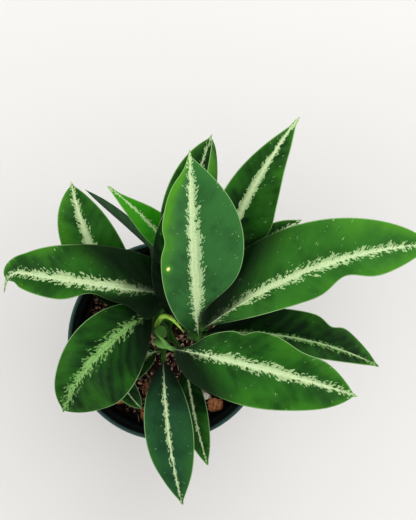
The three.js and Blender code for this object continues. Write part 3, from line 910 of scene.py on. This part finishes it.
LEAVES = [
    Leaf(
        "leaf_crown", "cane_right", 0.194, 60, (0.024, 0.012, 0.236), (95, 90), (48, -4), 0.134,
        (0.0235, 0.034), (0.5, 0.56), (1.6, 2.3), fold=22, cup=-14, roll=(12, 18), wave=(0.001, 2.2, 0.1),
        dents=(Dent(LEFT, 0.58, 0.12, 0.045), Dent(LEFT, 0.93, 0.45, 0.07), Dent(RIGHT, 0.12, 0.6, 0.14)),
        finish=LeafFinish(
            deep=(0.009, 0.05, 0.013), lit=(0.05, 0.165, 0.05), band=(3.4, 6.2), feather=4.0,
            shade=0.76, painted_light=(1.6, 0.1), painted_shade=(0.1, 0.2), blemish=(61.0, 18.5), seed=1.0,
        ),
    ),
    Leaf(
        "leaf_right_large", "cane_right", 0.185, 35, (0.029, 0.016, 0.228), (38, 2), (35, -30), 0.178,
        (0.033, 0.0195), (0.42, 0.56), (1.5, 1.7), fold=24, cup=-26, wave=(0.0022, 2.0, 0.35),
        dents=(Dent(RIGHT, 0.6, 0.42, 0.08),),
        finish=LeafFinish(
            lit=(0.045, 0.17, 0.025), band=(4.8, 2.6), feather=4.8, shade=0.8,
            painted_light=(0.85, 0.7), painted_shade=(0.42, 0.1), seed=2.0,
        ),
    ),
    Leaf(
        "leaf_right_low", "cane_right", 0.152, -15, (0.030, 0.009, 0.190), (6, -30), (22, -38), 0.138,
        (0.020, 0.013), (0.48, 0.4), (1.8, 1.4), cup=-20, roll=(-8, -14), wave=(0.0018, 2.6, 0.6),
        dents=(Dent(LEFT, 0.63, 0.24, 0.05),),
        finish=LeafFinish(
            pale=(0.24, 0.42, 0.15), band=(1.2, 2.0), feather=2.8, shade=0.2, painted_light=(0.25, 0.2),
            painted_shade=(0.4, 0.35), seed=3.0,
        ),
    ),
    Leaf(
        "leaf_back_right", "cane_right", 0.169, 78, (0.034, 0.044, 0.212), (74, 52), (34, -16), 0.136,
        (0.0175, 0.021), (0.46, 0.46), (2.5, 2.0), fold=22, cup=-20, wave=(0.0018, 2.4, 0.2),
        dents=(Dent(RIGHT, 0.74, 0.14, 0.14), Dent(RIGHT, 0.4, -0.16, 0.1), Dent(RIGHT, 0.12, 0.65, 0.15)),
        finish=LeafFinish(
            band=(3.4, 3.0), feather=1.8, shade=0.42, painted_light=(0.2, 0.4), painted_shade=(0.25, 0.35), seed=4.0,
        ),
    ),
    Leaf(
        "leaf_back_right_low", "cane_right", 0.158, 50, (0.034, 0.033, 0.188), (58, 26), (26, -24), 0.090,
        (0.013, 0.013), (0.45, 0.45), (1.5, 1.5), fold=24, cup=-20,
        finish=LeafFinish(
            band=(2.2, 2.2), feather=2.4, shade=0.2, painted_light=(0.3, 0.3), painted_shade=(0.5, 0.5), seed=5.0,
        ),
    ),
    Leaf(
        "leaf_back_curled", "cane_right", 0.158, 105, (0.020, 0.034, 0.188), (99, 68), (34, -14), 0.124,
        (0.022, 0.033), (0.5, 0.55), (1.7, 1.6), fold=22, curl=(0.0, 172.0), curl_from=0.26,
        finish=LeafFinish(
            under=(0.2, 0.46, 0.08), band=(3.0, 3.0), feather=2.4, shade=0.34, painted_light=(0.2, 0.9),
            painted_shade=(0.5, 0.5), seed=6.0,
        ),
    ),
    Leaf(
        "leaf_left_long", "cane_right", 0.177, 140, (0.008, 0.038, 0.212), (174, 170), (22, -36), 0.139,
        (0.0145, 0.028), (0.6, 0.40), (1.5, 1.05), fold=18, hook=88, tail=0.09, wave=(0.0014, 2.2, 0.5),
        dents=(Dent(LEFT, 0.42, 0.52, 0.1), Dent(LEFT, 0.1, -2.4, 0.09)),
        finish=LeafFinish(
            band=(2.6, 5.4), feather=4.4, shade=0.5, painted_light=(0.5, 0.8), painted_shade=(0.4, 0.5), seed=7.0,
        ),
    ),
    Leaf(
        "leaf_right_front", "cane_left", 0.190, -45, (0.008, 0.0, 0.222), (-9, -20), (26, -26), 0.135,
        (0.0255, 0.027), (0.5, 0.42), (1.9, 1.25), cup=-24, sheath=0.005, wave=(0.0018, 2.4, 0.8),
        dents=(Dent(LEFT, 0.05, 0.5, 0.08), Dent(LEFT, 0.34, 0.13, 0.035), Dent(LEFT, 0.64, 0.2, 0.11)),
        finish=LeafFinish(
            stalk=(0.15, 0.31, 0.09), band=(4.6, 3.0), feather=4.4, shade=0.56,
            painted_light=(0.6, 0.55), painted_shade=(0.1, 0.3), seed=8.0,
        ),
    ),
    Leaf(
        "leaf_inner_left", "cane_left", 0.181, 50, (0.008, 0.023, 0.204), (98, 80), (46, 4), 0.094,
        (0.014, 0.018), (0.45, 0.45), (1.2, 1.2), fold=22, cup=-20,
        finish=LeafFinish(band=(1.6, 1.6), shade=0.12, painted_light=(0.0, 0.0), painted_shade=(0.7, 0.7), seed=9.0),
    ),
    Leaf(
        "leaf_front_left", "cane_left", 0.174, 140, (-0.009, 0.024, 0.204), (208, 250), (22, -46), 0.108,
        (0.034, 0.023), (0.52, 0.4), (1.5, 1.5), fold=18, cup=-24, wave=(0.0018, 2.1, 0.15),
        finish=LeafFinish(
            pale=(0.27, 0.45, 0.17), rib=(0.16, 0.31, 0.1), band=(4.0, 4.6), feather=6.0, shade=0.22,
            painted_light=(0.25, 0.25), painted_shade=(0.25, 0.1), seed=10.0,
        ),
    ),
    Leaf(
        "leaf_back_left", "cane_left", 0.160, 170, (-0.019, 0.018, 0.180), (130, 102), (26, -20), 0.116,
        (0.020, 0.022), (0.58, 0.52), (1.8, 1.8), fold=22,
        finish=LeafFinish(
            band=(4.2, 4.4), feather=3.0, shade=0.52, painted_light=(0.9, 0.1), painted_shade=(0.4, 0.4), seed=11.0,
        ),
    ),
    Leaf(
        "leaf_back_left_folded", "cane_left", 0.148, 105, (-0.004, 0.062, 0.172), (132, 142), (22, -8), 0.076,
        (0.012, 0.012), (0.45, 0.45), (1.3, 1.3), fold=72, cup=0, roll=(165, 175), wave=(0.0004, 1.5, 0.0),
        finish=LeafFinish(under=(0.02, 0.065, 0.022), margin=(0.08, 0.16, 0.08), seed=12.0),
    ),
    Leaf(
        "leaf_young_back_left", "cane_left", 0.166, 85, (0.007, 0.065, 0.186), (124, 144), (30, 8), 0.072,
        (0.012, 0.0125), (0.42, 0.3), (1.6, 2.2), fold=26, cup=-8, roll=(20, 20), wave=(0.0008, 1.5, 0.2),
        finish=LeafFinish(
            deep=(0.025, 0.16, 0.008), lit=(0.05, 0.29, 0.014), band=(1.3, 1.3), feather=2.4,
            painted_light=(0.6, 0.6), shade=0.7, seed=13.0,
        ),
    ),
    Leaf(
        "leaf_front_left_low", "cane_left", 0.160, -110, (-0.007, -0.005, 0.178), (192, 232), (16, -34),
        0.056, (0.015, 0.013), (0.45, 0.45), (1.4, 1.4), cup=-20,
        finish=LeafFinish(
            band=(5.0, 5.0), feather=2.0, shade=0.2, painted_light=(0.0, 0.0), painted_shade=(-0.2, -0.2), seed=14.0,
        ),
    ),
    Leaf(
        "leaf_front_long", "cane_left", 0.168, -72, (-0.001, -0.011, 0.196), (-88, -77), (18, -32), 0.110,
        (0.018, 0.017), (0.46, 0.44), (1.8, 1.9), wave=(0.0014, 2.6, 0.4),
        finish=LeafFinish(
            deep=(0.003, 0.022, 0.008), lit=(0.026, 0.1, 0.04), band=(1.4, 1.8), feather=2.4,
            shade=0.62, painted_light=(0.25, 0.2), painted_shade=(0.2, 0.2), seed=15.0,
        ),
    ),
    Leaf(
        "leaf_front_low", "cane_left", 0.150, -45, (0.015, -0.017, 0.168), (-82, -74), (12, -26), 0.078,
        (0.010, 0.011), (0.42, 0.42), (1.5, 1.4), cup=-20,
        finish=LeafFinish(band=(0.8, 1.2), feather=1.6, shade=0.3, painted_light=(0.1, 0.1), seed=16.0),
    ),
    Leaf(
        "leaf_small_front_left", "cane_small", 0.134, -60, (-0.041, -0.018, 0.150), (-64, -48), (24, -34),
        0.041, (0.009, 0.008), (0.45, 0.45), (1.4, 1.4), cup=-20, wave=(0.0006, 1.5, 0.2),
        finish=LeafFinish(band=(0.4, 0.4), feather=1.0, shade=0.3, painted_light=(0.0, 0.0), seed=17.0),
    ),
]


@dataclass
class NewShoot:
    """The new leaf, still rolled up: a bent spear whose free edge winds nearly once round it."""

    node: str = "new_shoot"
    start: tuple[float, float, float] = (-0.006, 0.014, 0.191)
    bend: tuple[float, float, float] = (-0.001, 0.032, 0.216)
    tip: tuple[float, float, float] = (0.014, 0.011, 0.213)
    radius: float = 0.0024
    around: int = 48
    stations: int = 70

    def build(self, finish: StalkFinish) -> bpy.types.Object:
        """The skin: radius * sqrt(1 - u) round a quadratic Bezier, from 0.88 to 1.1 of that per turn."""
        start, bend, tip = (np.array(p) for p in (self.start, self.bend, self.tip))
        u = np.linspace(0.0, 0.995, self.stations)[:, None]
        places = start * (1 - u) ** 2 + 2.0 * bend * u * (1 - u) + tip * u**2
        ahead = unit((bend - start) * (1 - u) + (tip - bend) * u)
        side = np.array([-1.0, 0.0, 0.0])
        side = unit(side - ahead * (ahead @ side)[:, None])
        up = np.cross(ahead, side)
        angle = np.linspace(0.0, 2.0 * math.pi, self.around, endpoint=False)[None, :]
        seam = ((angle / (2.0 * math.pi) + 0.9 * u) % 1.0) * 0.22 - 0.12
        radius = self.radius * np.sqrt(1.0 - u) * mix(0.75, 1.0, smoothstep(u, 0.0, 0.3)) * (1.0 + seam)
        rings = places[:, None] + side[:, None] * (radius * np.cos(angle))[..., None]
        rings = rings + up[:, None] * (radius * np.sin(angle))[..., None]
        points, faces = closed_skin(rings)
        piece = make_piece("new_shoot_roll", points, faces, tints=np.zeros(len(points)))
        return dress(piece, finish.material("new_shoot_green"), "young_leaf", self.node)


# ---------------------------------------------------------------- pot
@dataclass
class Pot:
    """The nursery pot: a tapered wall, a band with a rolled lip, a foot and drain holes."""

    node: str = "pot"
    base_radius: float = 0.057
    wall: float = 0.0018
    band_height: float = 0.013
    lip_step: float = 0.003
    recess: float = 0.003
    floor: float = 0.002
    disc_radius: float = 0.014
    foot_width: float = 0.005
    drain_holes: int = 6
    drain_radius: float = 0.005
    drain_circle: float = 0.036
    drill_length: float = 0.012
    around: int = 160

    def height(self) -> float:
        """Height of the rim."""
        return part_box(self.node)[1].z

    def rim_radius(self) -> float:
        """Radius over the lip."""
        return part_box(self.node)[1].x

    def wall_radius(self, height: float) -> float:
        """Outside radius of the tapered wall at a height."""
        band = self.height() - self.band_height
        return mix(self.base_radius, self.rim_radius() - self.lip_step - MM, height / band)

    def outline(self) -> Array:
        """The section, up the outside and down the inside, with the lip rolled on an arc."""
        top, rim = self.height(), self.rim_radius()
        band = top - self.band_height
        floor = self.recess + self.floor
        ring = self.base_radius - self.foot_width
        turn = np.linspace(-0.15 * math.pi, 1.05 * math.pi, 14)
        roll = 1.5 * MM
        lip = np.stack([rim - roll + roll * np.cos(turn), top - roll + roll * np.sin(turn)], -1)
        lower = [
            (0.0005, 0.0),
            (self.disc_radius - 0.4 * MM, 0.0),
            (self.disc_radius, 0.3 * MM),
            (self.disc_radius + 1.6 * MM, self.recess - 0.3 * MM),
            (self.disc_radius + 2.2 * MM, self.recess),
            (ring - 2.2 * MM, self.recess),
            (ring - 1.7 * MM, self.recess - 0.3 * MM),
            (ring - 0.3 * MM, 0.2 * MM),
            (ring + 0.2 * MM, 0.0),
            (self.base_radius - 1.1 * MM, 0.0),
            (self.base_radius - 0.4 * MM, 0.2 * MM),
            (self.base_radius, 0.9 * MM),
        ]
        wall = [(self.wall_radius(h), h) for h in np.linspace(0.004, band - 0.9 * MM, 22)]
        step = [
            (self.wall_radius(band), band - 0.3 * MM),
            (rim - 1.9 * MM, band),
            (rim - 1.2 * MM, band + 0.25 * MM),
            (rim - 1.0 * MM, band + 0.9 * MM),
            (rim - 0.9 * MM, top - 3.4 * MM),
            (rim - 0.5 * MM, top - 2.9 * MM),
        ]
        inner = [
            (rim - 2.9 * MM, top - 2.6 * MM),
            (rim - MM - self.wall, band + 3.2 * MM),
            (self.wall_radius(band) - self.wall + 0.3 * MM, band + 0.4 * MM),
        ]
        depths = np.linspace(band - 0.5 * MM, floor + 1.5 * MM, 20)
        inside = [(self.wall_radius(h) - self.wall, h) for h in depths]
        corner = self.wall_radius(floor) - self.wall
        last = [(corner - 1.2 * MM, floor + 0.2 * MM), (corner - 2.4 * MM, floor), (0.0005, floor)]
        return np.array([*lower, *wall, *step, *lip, *inner, *inside, *last])

    def build(self, finish: PlasticFinish) -> bpy.types.Object:
        """The pot's skin: the outline turned about +Z, with the drain holes cut through."""
        outline = self.outline()
        angle = np.linspace(0.0, 2.0 * math.pi, self.around, endpoint=False)
        spoke = np.stack([np.cos(angle), np.sin(angle), 0.0 * angle], -1)
        rings = spoke[None] * outline[:, 0][:, None, None]
        rings = rings + np.array([0.0, 0.0, 1.0]) * outline[:, 1][:, None, None]
        points, faces = closed_skin(rings)
        # tint: a painted highlight on the lip, at 0.9, and wear on the foot, at 0.5
        lip = smoothstep(outline[:, 1], self.height() - 4.0 * MM, self.height() - 0.4 * MM)
        foot = smoothstep(-outline[:, 1], -2.0 * MM, 0.0) * (outline[:, 0] > 0.04)
        tints = np.append(np.repeat(np.maximum(0.9 * lip, 0.5 * foot), self.around), [0.0, 0.0])
        piece = make_piece("pot_shell", points, faces, tints=tints)
        self.cut_drains(piece)
        return dress(piece, finish.material("pot_plastic_finish"), "pot_plastic", self.node)

    def cut_drains(self, piece: bpy.types.Object) -> None:
        """Cuts the drain holes through the raised floor."""
        for hole in range(self.drain_holes):
            angle = 2.0 * math.pi * hole / self.drain_holes
            place = (self.drain_circle * math.cos(angle), self.drain_circle * math.sin(angle), self.recess)
            bpy.ops.mesh.primitive_cylinder_add(
                vertices=32, radius=self.drain_radius, depth=self.drill_length, location=place,
            )
            tool = bpy.context.object
            cut = piece.modifiers.new("drain", "BOOLEAN")
            cut.operation = "DIFFERENCE"
            cut.object = tool
            cut.solver = "EXACT"
            bpy.context.view_layer.objects.active = piece
            bpy.ops.object.modifier_apply(modifier=cut.name)
            bpy.data.objects.remove(tool)


# ---------------------------------------------------------------- soil
class Grain(enum.Enum):
    """What a loose piece is made of, with its material slot."""

    BARK = "bark"
    PERLITE = "perlite"


def rounded_block(rings: int = 9, around: int = 14) -> tuple[Array, Array]:
    """A unit pebble: a sphere whose coordinates are each raised to 0.7, so it is boxy."""
    polar = np.linspace(0.12, math.pi - 0.12, rings)[::-1, None]
    angle = np.linspace(0.0, 2.0 * math.pi, around, endpoint=False)[None, :]
    x, y = np.sin(polar) * np.cos(angle), np.sin(polar) * np.sin(angle)
    ball = np.stack([x, y, np.cos(polar) + 0.0 * angle], -1)
    return closed_skin(np.sign(ball) * np.abs(ball) ** 0.7)


def turns_about(axis: int, angle: Array) -> Array:
    """A turning matrix about one axis (0 for X, 1 for Y, 2 for Z) for each angle."""
    matrices = np.zeros((len(angle), 3, 3))
    first, second = (axis + 1) % 3, (axis + 2) % 3
    matrices[:, axis, axis] = 1.0
    matrices[:, first, first] = np.cos(angle)
    matrices[:, second, second] = np.cos(angle)
    matrices[:, second, first] = np.sin(angle)
    matrices[:, first, second] = -np.sin(angle)
    return matrices


def scatter(
    name: str,
    places: Array,
    halves: Array,
    turns: Array,
    tints: Array,
    rings: int,
    around: int,
    rough: float,
    grit: float = 0.0,
) -> bpy.types.Object:
    """Many uneven pebbles as one mesh.

    Each is the rounded block, pushed in and out by slow waves of its own, stretched to its
    half lengths, and turned by its three angles.

    Args:
        name: The piece's name.
        places: Centres, one row each.
        halves: Half lengths along the grain's own axes.
        turns: Angles about X, Y and Z.
        tints: The tint of each grain.
        rings: Rings in one grain.
        around: Points in a ring.
        rough: How uneven a grain is.
        grit: How deep its finer ridges and pits are.

    Returns:
        The piece, with no material yet.
    """
    block, faces = rounded_block(rings, around)
    count = len(places)
    x, y, z = (block[None, :, k] for k in range(3))
    own = np.arange(count)[:, None] * 1.37
    push = 1.0 + rough * np.sin(3.1 * x + own) * np.cos(2.7 * y - 1.3 * own)
    push = push + 0.5 * rough * np.sin(6.3 * (y + z) + own)
    push = push + grit * np.sin(9.0 * x + 2.0 * own) * np.sin(3.0 * y + own) * np.cos(7.0 * z - own)
    push = push + 0.6 * grit * np.sin(19.0 * x + 5.0 * y + own) * np.sin(17.0 * z + 3.0 * own)
    shape = block[None] * push[..., None] * halves[:, None]
    about_x, about_y, about_z = (turns_about(axis, turns[:, axis]) for axis in range(3))
    turned = np.einsum("nij,nvj->nvi", about_z @ about_y @ about_x, shape)
    points = (turned + places[:, None]).reshape(-1, 3)
    offsets = (np.arange(count) * len(block))[:, None, None]
    every = (faces[None] + offsets).reshape(-1, 3)
    return make_piece(name, points, every, tints=np.repeat(tints, len(block)))


@dataclass(frozen=True)
class Litter:
    """One kind of small loose matter: longest is in millimetres, ratios are of that length."""

    name: str
    count: int
    longest: tuple[float, float]
    ratios: tuple[float, float]
    rings: int
    around: int
    slot: str
    finish: EarthFinish


LITTER = (
    Litter(
        "soil_crumbs", count=1500, longest=(1.6, 3.6), ratios=(0.7, 0.6), rings=5, around=7,
        slot="potting_soil",
        finish=EarthFinish((0.04, 0.02, 0.014), (0.62, 0.42, 0.33), 1300.0, rough=0.92, contrast=1.4),
    ),
    Litter(
        "bark_slivers", count=340, longest=(3.0, 7.5), ratios=(0.42, 0.26), rings=6, around=8,
        slot="bark",
        finish=EarthFinish((0.05, 0.022, 0.015), (0.68, 0.44, 0.32), rough=0.82, fibre=2.5, contrast=1.5),
    ),
    Litter(
        "root_threads", count=160, longest=(6.0, 15.0), ratios=(0.07, 0.06), rings=9, around=6,
        slot="bark",
        finish=EarthFinish((0.16, 0.09, 0.05), (0.75, 0.62, 0.5)),
    ),
    Litter(
        "perlite_grains", count=26, longest=(0.8, 1.7), ratios=(0.9, 0.8), rings=5, around=7,
        slot="perlite",
        finish=EarthFinish((0.42, 0.38, 0.32), (0.82, 0.8, 0.75), 1500.0, rough=0.9),
    ),
)


@dataclass
class Soil:
    """The root ball, the crumbs and bark on it, and the larger loose pieces."""

    node: str = "soil"
    level: float = 0.118
    spread: float = 0.064
    seed: int = 11
    around: int = 128

    def ground(self, x: Array, y: Array) -> Array:
        """Height of the soil: level, plus slow mounds and finer lumps, in metres."""
        slow = np.sin(x / MM * 0.19 + 1.0) * np.cos(y / MM * 0.17) + 0.5 * np.sin((x + 2.0 * y) / MM * 0.13)
        fine = lumps(x / MM * 0.42, y / MM * 0.42, 2.0) * 0.9
        return self.level + (1.6 * slow + fine) * MM

    def root_ball(self, pot: Pot) -> bpy.types.Object:
        """The soil's skin: it follows the inside of the pot and has an uneven top."""
        low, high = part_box(self.node)[0].z, self.level - 4.0 * MM
        clear = pot.wall + 0.3 * MM
        heights = np.linspace(low, high, 12)
        sides = np.array([pot.wall_radius(h) - clear for h in heights])
        inner = sides[-1] * np.linspace(0.995, 0.01, 60)
        radius = np.concatenate([sides, inner])
        angle = np.linspace(0.0, 2.0 * math.pi, self.around, endpoint=False)
        x = radius[:, None] * np.cos(angle)[None]
        y = radius[:, None] * np.sin(angle)[None]
        z = self.ground(x, y)
        z[: len(sides)] = heights[:, None]
        points, faces = closed_skin(np.stack([x, y, z], -1))
        tints = 0.25 + 0.25 * lumps(points[:, 0] * 900.0, points[:, 1] * 900.0, 1.0)
        piece = make_piece("root_ball", points, faces, tints=tints)
        finish = EarthFinish((0.012, 0.006, 0.004), (0.13, 0.08, 0.06), 1100.0, rough=0.95, contrast=1.6)
        return dress(piece, finish.material("potting_mix"), "potting_soil", self.node)

    def loose(self, random: np.random.Generator, count: int, most: float) -> Array:
        """Random places on the soil, evenly over its disc and off the canes."""
        reach = most * np.sqrt(random.uniform(0.0, 1.0, count))
        angle = random.uniform(0.0, 2.0 * math.pi, count)
        x, y = reach * np.cos(angle), reach * np.sin(angle)
        for cane in CANES.values():
            away = np.hypot(x - cane.at[0], y - cane.at[1])
            push = np.maximum(1.0, (cane.radius + 4.0 * MM) / np.maximum(away, 1e-6))
            x = cane.at[0] + (x - cane.at[0]) * push
            y = cane.at[1] + (y - cane.at[1]) * push
        return np.stack([x, y, self.ground(x, y)], -1)

    def litter(self) -> None:
        """Crumbs, bark slivers and perlite grains over the whole surface, one piece each."""
        random = np.random.default_rng(self.seed)
        for kind in LITTER:
            count = kind.count
            longest_half = random.uniform(*kind.longest, count) * MM * 0.5
            halves = longest_half[:, None] * np.array([1.0, *kind.ratios])
            halves *= random.uniform(0.75, 1.25, (count, 3))
            places = self.loose(random, count, self.spread)
            places[:, 2] += halves[:, 2] * random.uniform(0.0, 1.4, count)
            turns = random.uniform(-0.5, 0.5, (count, 3))
            turns[:, 2] = random.uniform(0.0, 2.0 * math.pi, count)
            tints = random.uniform(0.0, 1.0, count) ** 1.2
            piece = scatter(kind.name, places, halves, turns, tints, kind.rings, kind.around, rough=0.22)
            dress(piece, kind.finish.material(kind.name + "_finish"), kind.slot)

    def chips(self) -> None:
        """The larger loose pieces, each filling its CAD node's box."""
        names = [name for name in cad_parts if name.startswith(("bark_chip", "perlite_"))]
        for index, name in enumerate(sorted(names)):
            kind = Grain.BARK if name.startswith("bark") else Grain.PERLITE
            low, high = (np.array(corner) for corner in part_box(name))
            centre, half = (low + high) / 2.0, (high - low) / 2.0
            tint = np.array([0.35 + 0.6 * ((index * 0.618) % 1.0)])
            piece = scatter(
                name + "_piece", centre[None], half[None] * 0.92, np.zeros((1, 3)), tint,
                rings=34, around=52, rough=0.1, grit=0.12,
            )
            if kind is Grain.BARK:
                finish = EarthFinish(
                    (0.05, 0.016, 0.008), (0.5, 0.24, 0.12), 700.0, rough=0.8, fibre=3.0, contrast=2.0,
                )
            else:
                finish = EarthFinish((0.5, 0.47, 0.42), (0.85, 0.83, 0.79), 1400.0, rough=0.9)
            dress(piece, finish.material(name + "_finish"), kind.value, name)


# ---------------------------------------------------------------- stage
@dataclass
class Stage:
    """Floor, soft light and the camera, which looks straight down."""

    camera_place: tuple[float, float, float] = (0.0307, 0.0616, 1.018)
    lens: float = 80.0
    sky_strength: float = 0.7
    floor_colour: tuple[float, float, float] = (0.65, 0.643, 0.635)

    def build(self) -> None:
        """Makes the floor, the lights and the camera."""
        bpy.ops.mesh.primitive_plane_add(size=8.0, location=(0.0, 0.0, -0.0005))
        floor = bpy.context.object
        floor.name = "floor"
        floor.data.materials.append(Shader("floor_paint").feed(Base_Color=self.floor_colour, Roughness=0.9))
        world = bpy.data.worlds.new("studio")
        world.use_nodes = True
        background = world.node_tree.nodes["Background"]
        background.inputs["Color"].default_value = (1.0, 0.99, 0.98, 1.0)
        background.inputs["Strength"].default_value = self.sky_strength
        bpy.context.scene.world = world
        bpy.context.scene.view_settings.view_transform = "Standard"
        bpy.context.scene.view_settings.look = "High Contrast"
        self.lamp("back_window", (0.4, 1.7, 1.25), size=2.0, power=14.5)
        self.lamp("right_window", (1.6, 0.1, 1.1), size=1.8, power=8.0)
        self.lamp("left_window", (-1.5, -0.5, 1.3), size=1.8, power=8.0)
        data = bpy.data.cameras.new("camera")
        data.lens = self.lens
        camera = bpy.data.objects.new("camera", data)
        camera.location = self.camera_place
        bpy.context.scene.collection.objects.link(camera)
        bpy.context.scene.camera = camera

    def lamp(self, name: str, place: tuple[float, float, float], size: float, power: float) -> None:
        """A square soft light that faces the plant."""
        data = bpy.data.lights.new(name, "AREA")
        data.size = size
        data.energy = power
        lamp = bpy.data.objects.new(name, data)
        lamp.location = place
        aim = np.array([0.0, 0.0, 0.18]) - np.array(place)
        tilt = math.atan2(math.hypot(aim[0], aim[1]), -aim[2])
        turn = math.atan2(aim[1], aim[0]) - math.pi / 2
        lamp.rotation_euler = (tilt, 0.0, turn)
        bpy.context.scene.collection.objects.link(lamp)


def main() -> None:
    """Builds everything in order."""
    logging.basicConfig(level=logging.INFO, format="%(name)s %(message)s")
    Stage().build()
    pot = Pot()
    pot.build(PlasticFinish())
    soil = Soil()
    soil.root_ball(pot)
    soil.litter()
    soil.chips()
    cane_finish = StalkFinish(base=(0.022, 0.075, 0.012), light=(0.07, 0.17, 0.035))
    for cane in CANES.values():
        cane.build(cane_finish)
    for leaf in LEAVES:
        leaf.build()
    NewShoot().build(StalkFinish(base=(0.22, 0.42, 0.05), light=(0.4, 0.6, 0.12)))


if __name__ == "__main__":
    main()
